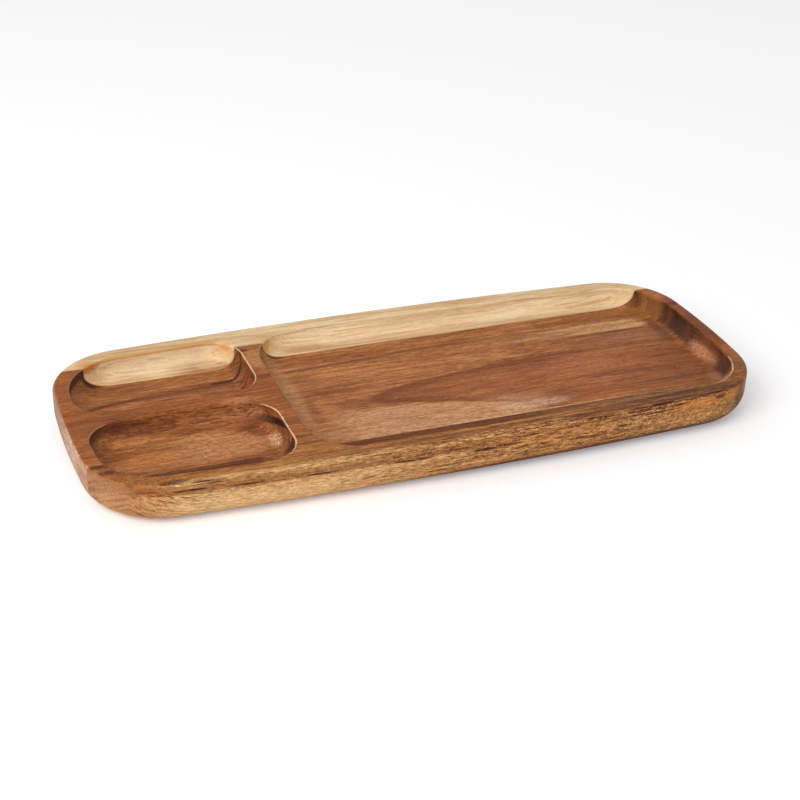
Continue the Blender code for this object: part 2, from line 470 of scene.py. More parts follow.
class Finish:
    """A material or the world, and its nodes."""

    def __init__(self, name, kind=bpy.data.materials, shader="Principled BSDF"):
        self.material = kind.new(name)
        self.material.use_nodes = True
        self.tree = self.material.node_tree
        self.surface = self.tree.nodes[shader]

    def plug(self, socket, value):
        """Links a level to a socket, or sets a plain value on it."""
        if isinstance(value, Level):
            self.tree.links.new(value.socket, socket)
        else:
            socket.default_value = value

    def node(self, kind, settings=None, sockets=None, output=0):
        """One node: its settings first, then its sockets. Gives back the outputs that are asked for."""
        made = self.tree.nodes.new(kind)
        for name, value in (settings or {}).items():
            if name == "stops":
                set_stops(made.color_ramp, value)
            else:
                setattr(made, name, value)
        for name, value in (sockets or {}).items():
            self.plug(made.inputs[name], value)
        if isinstance(output, tuple):
            return [Level(self, made.outputs[name]) for name in output]
        return Level(self, made.outputs[output])

    def mix(self, share, below, above):
        """One colour over another by a share."""
        settings = {"data_type": "RGBA", "clamp_factor": True}
        sockets = {MIX_SHARE: share, MIX_BELOW: below, MIX_ABOVE: above}
        return self.node("ShaderNodeMix", settings, sockets, MIX_RESULT)

    def vector(self, x, y, z):
        return self.node("ShaderNodeCombineXYZ", None, {"X": x, "Y": y, "Z": z})

    def stretch(self, vector, sizes):
        """The place divided by the size of a pattern along X, Y and Z."""
        shares = tuple(1.0 / size for size in sizes)
        return self.node("ShaderNodeVectorMath", {"operation": "MULTIPLY"}, {0: vector, 1: shares})

    def noise(self, vector, sizes, detail=2.0, roughness=0.5):
        """Smooth noise whose features have these sizes in millimetres, from 0 to 1 about a half."""
        sockets = {"Vector": self.stretch(vector, sizes), "Scale": 1.0, "Detail": detail}
        sockets["Roughness"] = roughness
        return self.node("ShaderNodeTexNoise", {"noise_dimensions": "3D", "normalize": True}, sockets)

    def report(self, step):
        """Prints how far the finish has grown."""
        print(f"{self.material.name}, {step}: {len(self.tree.nodes)} nodes")


# %% [markdown]
# ## The camera
# The camera stands left of the tray and in front of it, looks down at about 29 degrees, and puts the
# drawn outline on the photographed one. A Track To constraint could aim it, but the photograph has a
# small roll, so its three directions are worked out from turn, fall and roll.

# %% Camera
TURN, FALL, ROLL = 0.381486, 0.505909, 0.034218
STANDPOINT = (-0.29388, -0.72181, 0.43734)
FOCAL_LENGTH, SENSOR_WIDTH = 71.983, 36.0

ahead = Vector((math.sin(TURN) * math.cos(FALL), math.cos(TURN) * math.cos(FALL), -math.sin(FALL)))
across = Vector((math.cos(TURN), -math.sin(TURN), 0.0))
down = across.cross(ahead) * -1.0
right_hand = across * math.cos(ROLL) - down * math.sin(ROLL)
below = across * math.sin(ROLL) + down * math.cos(ROLL)
lens = bpy.data.cameras.new("tray_camera")
lens.lens, lens.sensor_width = FOCAL_LENGTH, SENSOR_WIDTH
camera = bpy.data.objects.new("tray_camera", lens)
axes = Matrix((right_hand, -below, -ahead)).transposed().to_4x4()
camera.matrix_world = Matrix.Translation(STANDPOINT) @ axes
bpy.context.scene.collection.objects.link(camera)
bpy.context.scene.camera = camera
print("camera looks", [round(v, 3) for v in ahead])

# %% [markdown]
# ## Floor and light
# The tray lies on plain white paper. A stronger lamp would whiten the paper but bleach the wood. So the
# paper glows a little for the camera alone, and keeps the tray's soft shadow.

# %% Floor
FLOOR_REACH, FLOOR_DROP, FLOOR_GLOW = 4, 0.0002, 0.22

corners = [(a * FLOOR_REACH, b * FLOOR_REACH, 0) for a, b in ((-1, -1), (1, -1), (1, 1), (-1, 1))]
floor_mesh = bpy.data.meshes.new("floor")
floor_mesh.from_pydata(corners, [], [(0, 1, 2, 3)])
floor = bpy.data.objects.new("floor", floor_mesh)
bpy.context.scene.collection.objects.link(floor)
floor.location.z = -FLOOR_DROP
paper = Finish("white_paper")
paper.surface.inputs["Base Color"].default_value = PAPER
paper.surface.inputs["Roughness"].default_value = 0.9
paper.surface.inputs["Specular IOR Level"].default_value = 0.1
paper.surface.inputs["Emission Strength"].default_value = 1.0
seen = paper.node("ShaderNodeLightPath", output="Is Camera Ray") * FLOOR_GLOW
paper.plug(paper.surface.inputs["Emission Color"], paper.vector(seen, seen, seen))
floor_mesh.materials.append(paper.material)
print("floor reaches", FLOOR_REACH, "m each way")

# %% [markdown]
# One large soft lamp stands at the left, and even light comes from all round. An environment picture
# could give that light; a plain world does, white where it is seen or mirrored and dimmer where it only
# lights.

# %% World and lamp
WORLD_LEVEL = 0.62
LAMP_WATTS, LAMP_SIZE, LAMP_PLACE = 11.0, 0.9, (-0.95, -0.55, 0.95)

sky = Finish("studio", bpy.data.worlds, "Background")
bpy.context.scene.world = sky.material
rays = ("Is Camera Ray", "Is Glossy Ray", "Is Transmission Ray")
by_camera, by_gloss, through_glass = sky.node("ShaderNodeLightPath", output=rays)
looked_at = (by_camera + by_gloss + through_glass).step(0.0, 1.0)
sky.plug(sky.surface.inputs["Color"], (1.0, 1.0, 1.0, 1.0))
sky.plug(sky.surface.inputs["Strength"], looked_at * (1.0 - WORLD_LEVEL) + WORLD_LEVEL)

lamp_data = bpy.data.lights.new("softbox", "AREA")
lamp_data.shape, lamp_data.size, lamp_data.energy = "SQUARE", LAMP_SIZE, LAMP_WATTS
lamp = bpy.data.objects.new("softbox", lamp_data)
lamp.location = LAMP_PLACE
lamp.rotation_euler = (-lamp.location).to_track_quat("-Z", "Y").to_euler()
bpy.context.scene.collection.objects.link(lamp)
bpy.context.scene.view_settings.view_transform = "Standard"
print("lamp at", [round(v, 2) for v in lamp.location])

# %% [markdown]
# ## A place inside the wood
# Grain runs through a board: a ring that crosses a pocket's floor climbs its wall and comes out on the
# rim at another place. An image would have to be unwrapped round every edge, so the wood is coloured by
# the place in the board, in millimetres. The boards share the tray's frame, so object coordinates fit all
# three.

# %% Wood by its place
WOOD_SHEEN, BRIGHTNESS, DUST, BUMP_STRENGTH = 0.06, 1.04, 0.006, 0.6


class Wood(Finish):
    """A finish that runs through the whole board. Its colour grows layer by layer."""

    def __init__(self, name, sway, waver, grain, bend=None):
        super().__init__(name)
        self.surface.inputs["Specular IOR Level"].default_value = WOOD_SHEEN
        where, facing = self.node("ShaderNodeTexCoord", output=("Object", "Normal"))
        to_mm = {0: where, 1: (1 / MM,) * 3}
        self.place = self.node("ShaderNodeVectorMath", {"operation": "MULTIPLY"}, to_mm)
        parts = ("X", "Y", "Z")
        self.x, self.y, self.z = self.node("ShaderNodeSeparateXYZ", None, {0: self.place}, parts)
        self.to_right, self.to_rear, self.up = self.node("ShaderNodeSeparateXYZ", None, {0: facing}, parts)
        drift = (self.noise(self.place, (140, 34, 34), detail=0) - 0.5) * sway
        drift = drift + (self.noise(self.place, (26, 8, 8), detail=1) - 0.5) * waver
        dip = drift * 0.6 + (self.x.curve(bend) if bend else 0.0)
        self.fibres = self.vector(self.x, self.y + drift, self.z + dip)
        self.streaks = self.noise(self.fibres, (80, 2.6, 2.6), detail=4, roughness=0.62)
        self.hairs = self.noise(self.fibres, (11 * grain, 1.5 * grain, 1.5 * grain), roughness=0.7)
        self.specks = self.noise(self.fibres, (2.8, 1.3 * grain, 1.3 * grain), roughness=0.8)
        self.cloud = self.noise(self.fibres, (60, 15, 15), detail=1)

    def veins(self, sizes, low, high, detail=2.0, roughness=0.5):
        """Streaks or flecks along the fibres, where a noise of these sizes passes from low to high."""
        return self.noise(self.fibres, sizes, detail, roughness).step(low, high)

    def pores(self):
        """Short dashes along the fibres."""
        return self.veins((4.5, 0.9, 0.9), 0.64, 0.7, detail=1)

    def share(self, streaks, hairs, cloud):
        """How light the wood is between its darkest and lightest tone, from patterns of three sizes."""
        return 0.5 + (self.streaks - 0.5) * streaks + (self.hairs - 0.5) * hairs + (self.cloud - 0.5) * cloud

    def fray(self, reach):
        """A small shift that changes from hair to hair and makes an edge ragged."""
        return (self.hairs - 0.5) * reach

    def pair(self, share, dark, light):
        """A tone between a dark and a light one."""
        return self.mix(share, paint(*dark), paint(*light))

    def lay(self, share, tone):
        """Lays a tone over the colour, where and as strongly as the share says."""
        above = tone if isinstance(tone, Level) else paint(*tone)
        self.colour = self.mix(share, self.colour, above)

    def spot(self, place, reach, soft=0.5):
        """1 inside an ellipsoid round a place, with a ragged edge along the fibres."""
        ragged = self.vector(self.x + self.fray(reach[0]), self.y, self.z)
        offset = self.node("ShaderNodeVectorMath", {"operation": "SUBTRACT"}, {0: ragged, 1: place})
        shares = {0: self.stretch(offset, reach)}
        away = self.node("ShaderNodeVectorMath", {"operation": "LENGTH"}, shares, "Value")
        return away.step(1.0 + soft, 1.0 - soft)

    def marks(self, table, grain):
        """Lays marks over the colour. Each is a place, how far it reaches, its tone and its strength."""
        for place, reach, tone, strength in table:
            self.lay(self.spot(place, reach) * grain * strength, tone)

    def finish(self, fine, roughness, relief, height):
        """Plugs in the colour with its finest grain, the gloss, and the relief, in millimetres."""
        shade = BRIGHTNESS + self.fray(fine) * 0.8 + (self.specks - 0.5) * fine
        grained = self.node("ShaderNodeVectorMath", {"operation": "SCALE"}, {0: self.colour, "Scale": shade})
        dusty = self.node("ShaderNodeVectorMath", {"operation": "ADD"}, {0: grained, 1: (DUST,) * 3})
        self.plug(self.surface.inputs["Base Color"], dusty)
        self.plug(self.surface.inputs["Roughness"], roughness)
        bump = {"Strength": BUMP_STRENGTH, "Distance": height * MM, "Height": relief}
        self.plug(self.surface.inputs["Normal"], self.node("ShaderNodeBump", None, bump))


# %% [markdown]
# ## Heartwood of the centre stave
# The middle board is flat-sawn. Its heart lies some five centimetres below the tray, so the growth rings
# cut the floor in a long pointed arch, and the rim and the dividers further in. A Wave texture draws
# rings round a straight axis only. The distance from a heart that sinks towards the left makes the arch
# point.

# %% Heartwood: rings and fibres
HEART_FORWARD, ARCH_RING = 7.5, 51.0
large_floor = (HEIGHT - POCKET_DEPTHS["large"]) / MM
rear_glue, front_glue = REAR_GLUE_LINE / MM, FRONT_GLUE_LINE / MM

heart = Wood("heartwood", 5.0, 1.6, 0.8)
x, y, z = heart.x, heart.y, heart.z
slow = heart.noise(heart.place, (70, 22, 22), detail=1) - 0.5
quick = heart.noise(heart.place, (22, 6, 6)) - 0.5
bent_y = y + slow * 4.0 + quick * 2.2
behind = x.curve([(-200, 60.0), (-24, 51.0), (0, 49.7), (20, 48.9), (50, 47.9), (80, 47.3), (120, 47.1)])
before = [(-200, 60.0), (-24, 51.0), (0, 50.1), (20, 49.0), (35, 47.3), (50, 44.5), (66, 37.1), (90, 28.0)]
before = x.curve(before)
heart_depth = before + (behind - before) * y.step(-11.0, -4.0)
ring = ((bent_y + HEART_FORWARD) ** 2 + (z - large_floor + heart_depth) ** 2) ** 0.5
beyond = ring - ARCH_RING
heart.colour = heart.pair(heart.share(2.0, 1.2, 1.4), (126, 66, 28), (192, 126, 74))
heart.report("rings and fibres")

# %% [markdown]
# The large zones come next: redder wood inside the arch, pale speckled wood in front of it, a golden band
# towards the right end, and darker browns round the rim. They overlap, so each is a soft mask of its own
# instead of a stop on one ramp.

# %% Heartwood: zones of colour
inside = beyond.step(0.0, -3.0)
heart.lay(inside * 0.45, (148, 80, 40))
pale = beyond.step(0.0, 0.7) * y.step(-12.0, -21.0) * x.window(-38, 48, 22)
heart.lay(pale * (heart.specks * 0.6 + 0.25), (208, 158, 116))
golden = bent_y.window(32.0, 38.5, 5.0) * x.step(40, 160) * x.step(170, 163) * z.step(21.0, 17.0)
heart.lay(golden * (heart.streaks * 1.2 + 0.35), (216, 162, 110))
dusky = bent_y.window(12.0, 27.0, 2.0) * x.step(90, 135)
heart.lay(dusky * 0.35, (142, 86, 54))
far_right = x.step(115, 165) * y.step(8.0, -6.0)
heart.lay(far_right * 0.5, (126, 66, 30))
rear_strip = bent_y.step(42.0, 47.0)
heart.lay(rear_strip * 0.35, (158, 98, 52))
top = z.step(21.0, 23.5)
heart.lay(top * 0.6, (146, 74, 18))
heart.report("zones")

# %% [markdown]
# Dark lines go over the zones: the arch, sharp outside and fading inside, and one more ring further out,
# a line along the rear of the floor and smudges on the dividers. Noise would put them anywhere, which
# suits only the fine dark streaks along the fibres.

# %% Heartwood: dark rings and streaks
arch = beyond.step(0.25, -0.1) * beyond.step(-2.6, -0.5)
arch_strength = x.curve([(-40, 0.8), (10, 0.75), (40, 0.75), (80, 0.55), (170, 0.4), (200, 0.2)])
heart.lay(arch * arch_strength, (116, 58, 26))
outer = ring.step(70.3, 69.8) * ring.step(67.2, 69.3)
outer = outer * (heart.hairs.step(0.25, 0.6) * 0.5 + 0.55)
strengths = [(-200, 0.3), (-160, 0.4), (-120, 0.8), (-60, 0.9), (0, 0.75), (60, 0.5), (105, 0.0)]
heart.lay(outer * x.curve(strengths), (104, 54, 28))
reddish = heart.veins((60, 3.0, 3.0), 0.53, 0.62)
heart.lay(reddish * x.step(90, 140) * y.step(-14, -22) * 0.6, (118, 66, 42))
broad = heart.veins((90, 5, 5), 0.48, 0.6)
heart.lay(broad * (x.step(40, 100) + x.step(-60, -80)) * 0.3, (112, 58, 28))
dark_hairs = heart.veins((34, 1.6, 1.6), 0.55, 0.66, roughness=0.6)
heart.lay(dark_hairs * 0.4, (112, 60, 30))
heart.report("dark rings and streaks")

# %% [markdown]
# Then come the cut ends of the fibres. Where a wall turns across the board, the oil sinks in deeper, and
# the wood is darker and shows rings. The upper left walls of the small pockets face away from the lamp and
# are darkened further as painted shade. The large pocket's right wall is all bands, too uneven for a
# pattern, so a row of tones from front to rear paints it, bent a little with the height.

# %% Heartwood: end grain in the pockets
along_ring = heart.vector(x * 0.05, ring * 0.8, y * 0.12)
end_rings = heart.noise(along_ring, (1, 1, 1), detail=3, roughness=0.6).step(0.38, 0.62)
right_walls = heart.to_right.step(-0.3, -0.8) * x.step(-181, -178)
heart.lay(right_walls * 0.65, heart.pair(end_rings, (88, 44, 24), (146, 86, 48)))
wall_y = y + (z - 18.0) * -0.5 + heart.fray(3.0)
wall_tones = [
    (-56, (120, 78, 50)), (-48, (96, 60, 44)), (-42, (60, 36, 30)), (-34, (70, 40, 30)),
    (-28, (132, 80, 52)), (-14, (140, 86, 54)), (-5, (112, 62, 36)), (1, (64, 36, 28)),
    (5, (92, 50, 28)), (11, (62, 34, 22)), (22, (54, 30, 20)), (27, (104, 50, 26)),
    (30, (56, 30, 20)), (34, (92, 52, 26)), (38, (140, 84, 40)), (47, (132, 78, 36)),
    (49, (150, 94, 46)), (53, (88, 48, 22)), (57, (124, 72, 32)),
]
end_wall = heart.to_right.step(-0.15, -0.6) * x.step(160, 168)
heart.lay(end_wall * 0.9, wall_y.tones(wall_tones))
upper_wall = end_wall * z.step(17.5, 20.5) * y.step(8.0, 0.0)
heart.lay(upper_wall * 0.6, heart.pair(end_rings, (70, 32, 18), (122, 62, 36)))
left_walls = heart.to_right.step(0.25, 0.7) * x.step(182, 178)
heart.lay(left_walls * 0.5, heart.pair(end_rings, (132, 86, 48), (182, 130, 84)))
# Painted shade: the upper parts of the small pockets' left walls, facing away from the lamp, are painted
# dark.
shaded_upper_left = left_walls * x.step(-120, -130) * z.step(17.0, 20.0) * (y.step(-15, 0) * 0.4 + 0.6)
heart.lay(shaded_upper_left * 0.85, (72, 36, 16))
heart.report("end grain in the pockets")

# %% [markdown]
# The tray's own ends are cut across the fibres too. The left one faces the lamp, and its pale tones are
# painted light and sheen over the rings; they change from front to rear. The right one isn't seen, so the
# same rings in browner tones will do.

# %% Heartwood: outer ends
left_end = heart.to_right.step(-0.35, -0.75) * x.step(-176, -182)
# Painted light: the left end is painted pale where it faces the lamp.
lit_end_tones = [(-50, (194, 148, 112)), (-20, (212, 182, 156)), (20, (154, 120, 100)), (60, (176, 138, 114))]
heart.lay(left_end * 0.9, heart.mix(end_rings, paint(164, 120, 94), y.tones(lit_end_tones)))
right_end = heart.to_right.step(0.35, 0.75) * x.step(178, 184)
heart.lay(right_end * 0.8, heart.pair(end_rings, (108, 66, 42), (166, 114, 76)))
heart.report("outer ends")

# %% [markdown]
# The marks of this one board are smudges and knots, with a few painted sheens and painted shades among
# them. They could be brushed on in Texture Paint; a table of places in millimetres, reaches along X, Y
# and Z, tones and strengths is easier to read and change. A height of 24 is the top, and 13.6 is the
# large pocket's floor.

# %% Heartwood: marks of this board
heart_marks = [
    ((168, 44, 14), (8, 8, 2), (146, 90, 40), 0.8),
    ((170, 20, 13.8), (4, 12, 1), (92, 52, 34), 0.6),
    ((171, -42, 14.5), (4, 7, 2), (180, 128, 96), 0.4),
    ((150, -35, 13.6), (22, 2.2, 2), (108, 62, 44), 0.6),
    # Painted sheen on the lower right wall of the large pocket.
    ((177, -12, 15), (5, 10, 2), (190, 126, 88), 0.35),
    ((55, -11, 13.6), (28, 4, 2), (140, 74, 38), 0.3),
    ((50, -30, 13.6), (18, 6, 2), (206, 152, 112), 0.35),
    ((100, -5, 13.6), (25, 9, 2), (190, 116, 74), 0.35),
    ((-2, -7, 13.6), (12, 3, 1), (170, 104, 66), 0.4),
    ((95, -43, 13.6), (20, 2.5, 2), (184, 116, 54), 0.5),
    ((186, 2, 24), (5, 22, 3), (112, 60, 30), 0.8),
    ((186, -36, 24), (6, 10, 2), (172, 112, 68), 0.4),
    ((184, 33, 24), (4, 3, 2), (82, 48, 34), 0.8),
    ((-75, 40, 24), (7, 12, 2), (194, 136, 84), 0.55),
    ((-112, -6, 18), (14, 5, 4), (180, 116, 74), 0.35),
    ((150, 20, 13.6), (20, 5, 2), (178, 120, 84), 0.35),
    ((178, 45, 24), (6, 8, 2), (196, 134, 84), 0.35),
    # Painted sheen on the large pocket's left cove.
    ((-64, 15, 15), (5, 45, 3), (190, 138, 92), 0.6),
    # Painted shade along the foot of that cove.
    ((-57.5, -14, 13.6), (3, 16, 1), (112, 62, 34), 0.35),
    # Painted sheen on the same cove, further forward.
    ((-58, -36, 15), (8, 9, 3), (184, 130, 88), 0.5),
    ((-82, 31, 16), (4, 9, 4), (168, 80, 36), 0.4),
    ((-150, -7, 18), (18, 4, 5), (112, 58, 28), 0.5),
    ((-150, -31, 13.5), (13, 7, 3), (190, 118, 58), 0.6),
    ((-148, 46, 11), (17, 4, 3), (126, 68, 32), 0.5),
    ((-108, -45, 13.5), (16, 3, 2), (134, 78, 42), 0.5),
    ((-96, -19, 15.5), (9, 9, 4), (112, 54, 24), 0.8),
    ((140, 28, 13.6), (30, 1.4, 1), (106, 60, 36), 0.7),
    ((-76, -35, 24), (8, 9, 2), (170, 104, 62), 0.25),
    ((-50, 20, 13.6), (7, 15, 2), (148, 88, 48), 0.5),
    # Painted shade on the front pocket's upper left wall and in its rear left corner.
    ((-176, -14, 21), (6, 10, 3), (92, 54, 30), 0.6),
    ((-164, -5.5, 20), (12, 3, 3), (84, 44, 24), 0.7),
    ((-172, 40, 13), (8, 9, 4), (172, 110, 66), 0.6),
    ((-166, 55.5, 15), (6, 1.8, 6), (70, 40, 24), 0.9),
    ((-60, 55.5, 15), (5, 1.6, 6), (80, 46, 26), 0.8),
]
heart.marks(heart_marks, heart.streaks * 0.9 + 0.55)
heart.report("marks")

# %% [markdown]
# Some marks are lighter and break up into specks instead of streaks. Two of them are painted sheen: the
# lower right wall of the large pocket and the pale place on its floor. The painted glints near the front
# pocket's right wall are finer than that, so they have a noise of their own.

# %% Heartwood: painted sheen, glints and pale patches
speckled = heart.specks.step(0.3, 0.65) * 0.7 + 0.45
sheen_and_pale_marks = [
    # Painted sheen: the large pocket's lower right wall and the pale place on its floor.
    ((178, -15, 16), (5, 13, 2.2), (190, 128, 88), 0.75),
    ((62, -38, 13.6), (19, 4.5, 2), (216, 174, 142), 0.5),
    ((-83, -31, 18), (4, 9, 3), (108, 56, 32), 0.6),
    # Painted sheen beneath the glints on the front pocket's right wall.
    ((-86.5, -34, 14.9), (4, 6, 1.8), (212, 166, 122), 0.4),
    ((-97, -3, 23.5), (9, 3, 2.5), (200, 138, 96), 0.5),
    ((-93, -10, 19), (9, 4, 3), (176, 108, 76), 0.6),
    ((-152, -16, 15), (12, 6, 3), (188, 126, 76), 0.5),
]
heart.marks(sheen_and_pale_marks, speckled)
patch = heart.spot((-120, -33, 13.5), (28.5, 20, 6), 0.1) * x.step(-152, -122) * y.step(-45, -37)
heart.lay(patch * speckled * 0.5, (208, 150, 100))
# Painted highlights: glints on the front pocket's right wall.
glints = heart.noise(heart.place, (1.2, 1.2, 1.0), detail=1, roughness=0.7).step(0.46, 0.66)
heart.lay(heart.spot((-86.5, -33, 15), (5, 6, 2.4)) * glints * 0.6, (242, 208, 166))
heart.report("sanded patches")

# %% [markdown]
# A few dark lines in the small pockets run at their own slant: a smudge down the front pocket's right
# wall, a line over the rear pocket's floor and up its wall, and flecks on the divider. Long thin marks
# would do for straight ones; a curve that tells where each line lies can follow a bend.

# %% Heartwood: lines in the small pockets
slant = y.curve([(-40, 25.0), (-35, 23.4), (-28, 21.1), (-20, 18.6), (-14, 17.7), (-6, 16.4)])
smudge = (z - slant + heart.fray(2.5)).window(-1.5, 0.9, 1.3)
smudge = smudge * x.window(-94, -79.5, 2) * z.step(23.6, 22.8)
heart.lay(smudge * y.curve([(-40, 0.0), (-33, 0.9), (-22, 1.0), (-14, 0.6), (-6, 0.0)]), (40, 16, 6))
run = x.curve([(-176, 30.0), (-165, 33.5), (-148, 36.2), (-130, 38.0), (-108, 38.8), (-89, 41.0)])
floor_line = (y + heart.fray(1.2)).line(run, 0.9, 1.6) * z.step(15, 12) * x.step(-88, -93)
heart.lay(floor_line * x.curve([(-176, 0.85), (-140, 0.7), (-110, 0.5), (-88, 0.7)]), (104, 50, 24))
wall_shift = y - z.curve([(11, 41.0), (12.8, 43.3), (15.7, 46.7), (19.6, 48.6), (24, 51.0)])
wall_grain = heart.vector(x * 0.04, wall_shift + heart.fray(1.5), 0.0)
wall_rings = heart.noise(wall_grain, (1.0, 1.6, 1.0)).step(0.45, 0.6)
rear_wall = heart.to_right.step(-0.2, -0.5) * x.window(-98, -79, 2) * y.step(20, 28)
heart.lay(rear_wall * wall_rings * 0.6, (84, 42, 20))
heart.lay(wall_shift.line(0.0, 0.7, 1.3) * x.window(-100, -79, 3) * 0.8, (52, 24, 14))
flecks = heart.veins((5.5, 0.8, 0.9), 0.5, 0.58, roughness=0.6)
fleck_wall = y.window(-8.5, -2.5, 1.5) * x.window(-168, -92, 6)
heart.lay(fleck_wall * flecks * 0.6, (84, 40, 20))
heart.report("lines in the small pockets")

# %% [markdown]
# Last, the edges. The round-over at the ends of the pockets catches the light, and a pale painted
# highlight stands for it; a hairline runs along each glue line. Pointiness would find edges by itself on
# a much finer mesh; here the direction that the surface faces finds them.

# %% Heartwood: edges, pores and gloss
rounded = heart.up.window(0.5, 0.88, 0.1) * z.step(22.2, 22.9)
lean = heart.to_right - heart.to_rear * 0.35
edge_highlight = rounded * lean.step(-0.28, -0.42) * x.window(-106, -79, 3)
edge_highlight = edge_highlight + rounded * x.window(-72, -68, 2) * y.step(15, 40) * 0.5
edge_highlight = edge_highlight + rounded * x.window(172, 181.5, 1.5) * y.step(-34, -42) * 0.6
edge_highlight = edge_highlight + rounded * heart.to_right.step(0.15, 0.4) * x.step(-120, -150) * 0.35
# Painted highlight along the rounded edges.
heart.lay(edge_highlight * (heart.hairs + 0.3), (228, 182, 144))
glue = y.step(rear_glue - 0.4, rear_glue - 0.1) + y.step(front_glue + 0.4, front_glue + 0.1)
heart.lay(glue * 0.45, (92, 54, 30))
light_line = y.step(front_glue + 1.3, front_glue + 1.0) * z.step(16, 14)
heart.lay(light_line * x.step(-20, 20) * x.step(130, 95) * 0.6, (218, 172, 134))
pores = heart.pores()
heart.lay(pores * 0.5, (88, 46, 24))
gloss = 0.46 + (heart.streaks - 0.5) * 0.2 + pores * 0.15
heart.finish(1.25, gloss, heart.hairs - pores * 0.6, 0.06)
staves["centre"].data.materials.append(heart.material)
heart.report("all")

# %% [markdown]
# ## Sapwood of the rear stave
# Sapwood is a tree's young outer wood: blonde, even and straight-grained. One tone with hairlines would
# nearly do, but the walls that turn across the fibres are warmer, and the long wall, which faces the lamp,
# is painted lighter as painted light.

# %% Sapwood: tones
sap = Wood("sapwood", 3.0, 0.8, 0.8)
x, y, z = sap.x, sap.y, sap.z
share = sap.share(2.4, 0.6, 1.6)
sap.colour = sap.pair(share, (200, 160, 112), (236, 208, 166))
# Painted light: the long wall facing the lamp is painted lighter, and lighter still along the rear pocket.
lit_long_wall = sap.to_rear.step(-0.3, -0.8) * y.step(74, 72)
sap.lay(lit_long_wall, sap.pair(share, (228, 190, 140), (250, 228, 188)))
sap.lay(lit_long_wall * x.step(-78, -86) * 0.35, (255, 232, 192))
in_large_pocket = z.step(17.0, 14.0) * x.step(-72, -62)
sap.lay(in_large_pocket * 0.5, (250, 218, 174))
soft_streaks = sap.veins((60, 1.3, 1.5), 0.53, 0.64, detail=3, roughness=0.6)
sap.lay(soft_streaks * 0.5, (184, 136, 86))
end_walls = abs(sap.to_right).step(0.3, 0.8) * y.step(73, 71)
sap.lay(end_walls * 0.3, (236, 194, 140))
in_small_pocket = x.step(-132, -104) * z.step(15, 12.5)
sap.lay(in_small_pocket * (sap.streaks.step(0.6, 0.42) * 0.5 + 0.5), (168, 116, 70))
# Painted shade: the steep top of the rear pocket's long wall is painted a warmer, darker gold, as this wood
# looks in shade.
shaded_golden_edge = z.step(21.5, 22.6) * x.window(-170, -92, 3) * sap.up.step(0.995, 0.9)
sap.lay(shaded_golden_edge * y.step(72, 70) * 0.8, (206, 146, 72))
sap.report("tones")

# %% [markdown]
# The pockets' corners have warm and pale places, which are a table of marks again, and the glue line
# shows as a faint brown hairline. Two of the pale places are painted highlights, where the walls face the
# lamp: the rear pocket's right end and the large pocket's rear right corner.

# %% Sapwood: marks, glue line and gloss
sap_marks = [
    ((-166, 60, 22), (7, 5, 2.4), (200, 130, 54), 0.9),
    ((-162, 60, 15), (8, 5, 4), (216, 168, 112), 0.5),
    ((-65, 61, 20), (4, 6, 5), (216, 162, 86), 0.8),
    # Painted highlight at the rear pocket's right end.
    ((-88, 62, 20), (5, 7, 5), (238, 192, 134), 0.7),
    ((-87, 62, 22), (3, 4, 2), (222, 152, 78), 0.6),
    ((-40, 62, 15), (14, 3, 4), (176, 132, 84), 0.6),
    # Painted highlight in the large pocket's rear right corner.
    ((168, 62, 18), (9, 5, 5), (236, 194, 140), 0.6),
    ((50, 69, 19), (45, 5, 5), (204, 166, 122), 0.35),
    ((-125, 76, 24), (40, 5, 2), (186, 146, 100), 0.35),
    ((-97, 62, 14), (7, 7, 3), (240, 206, 158), 0.4),
    ((146, 67, 22), (14, 2.0, 2), (224, 168, 98), 0.5),
]
sap.marks(sap_marks, sap.streaks * 0.9 + 0.55)
glue = y.step(rear_glue + 0.6, rear_glue + 0.2)
sap.lay(glue * 0.35, (150, 104, 62))
sap.finish(0.4, 0.48 + (sap.streaks - 0.5) * 0.15, sap.hairs, 0.05)
staves["rear"].data.materials.append(sap.material)
sap.report("all")

# %% [markdown]
# ## Streaked wood of the front stave
# The front board is the showy one: olive brown on top and golden on its outer face. Two materials could
# meet at the edge, but the change is soft and frayed, so one finish mixes both by how far the surface has
# turned. Its fibres bend down round the left corner.

# %% Streaked wood: tones
BEND = [(-185, -22.0), (-172, -14.0), (-160, -7.0), (-150, -2.8), (-140, -0.8), (-128, 0.0), (200, 0.0)]

gold = Wood("streaked_wood", 5.0, 2.0, 0.5, BEND)
x, y, z = gold.x, gold.y, gold.z
inset = y + WIDTH / 2 / MM - x**2 / (2 * LONG_SIDE_RADIUS / MM)
left_corner = gold.to_right.step(-0.05, -0.3) * x.step(-150, -165)
right_corner = gold.to_right.step(0.05, 0.3) * x.step(150, 165)
outwards = (y.step(-66, -70) + left_corner + right_corner).step(0, 1)
outer_face = gold.up.step(0.9, 0.3) * outwards
share = gold.share(1.8, 1.4, 0.7)
olive = gold.pair(share, (114, 60, 20), (188, 124, 62))
left_tone = gold.pair(share, (186, 130, 72), (230, 186, 130))
right_tone = gold.pair(share, (144, 80, 36), (230, 166, 98))
golden = gold.mix(x.step(-70, 60), left_tone, right_tone)
rim_outer = (inset + gold.fray(2.0)).step(7.0, 4.5) * x.window(-75, 45, 30) * z.step(22, 23)
face_share = (outer_face + inset.step(5.0, 1.5) * 0.7 + rim_outer * 0.1).step(0, 1)
gold.colour = gold.mix(face_share, olive, golden)
gold.report("tones")

# %% [markdown]
# A dark band runs along the foot of the pockets, in front of the glue line, and the rim darkens towards
# the right end. Straight masks would look drawn, so the streaks push their limits to and fro.

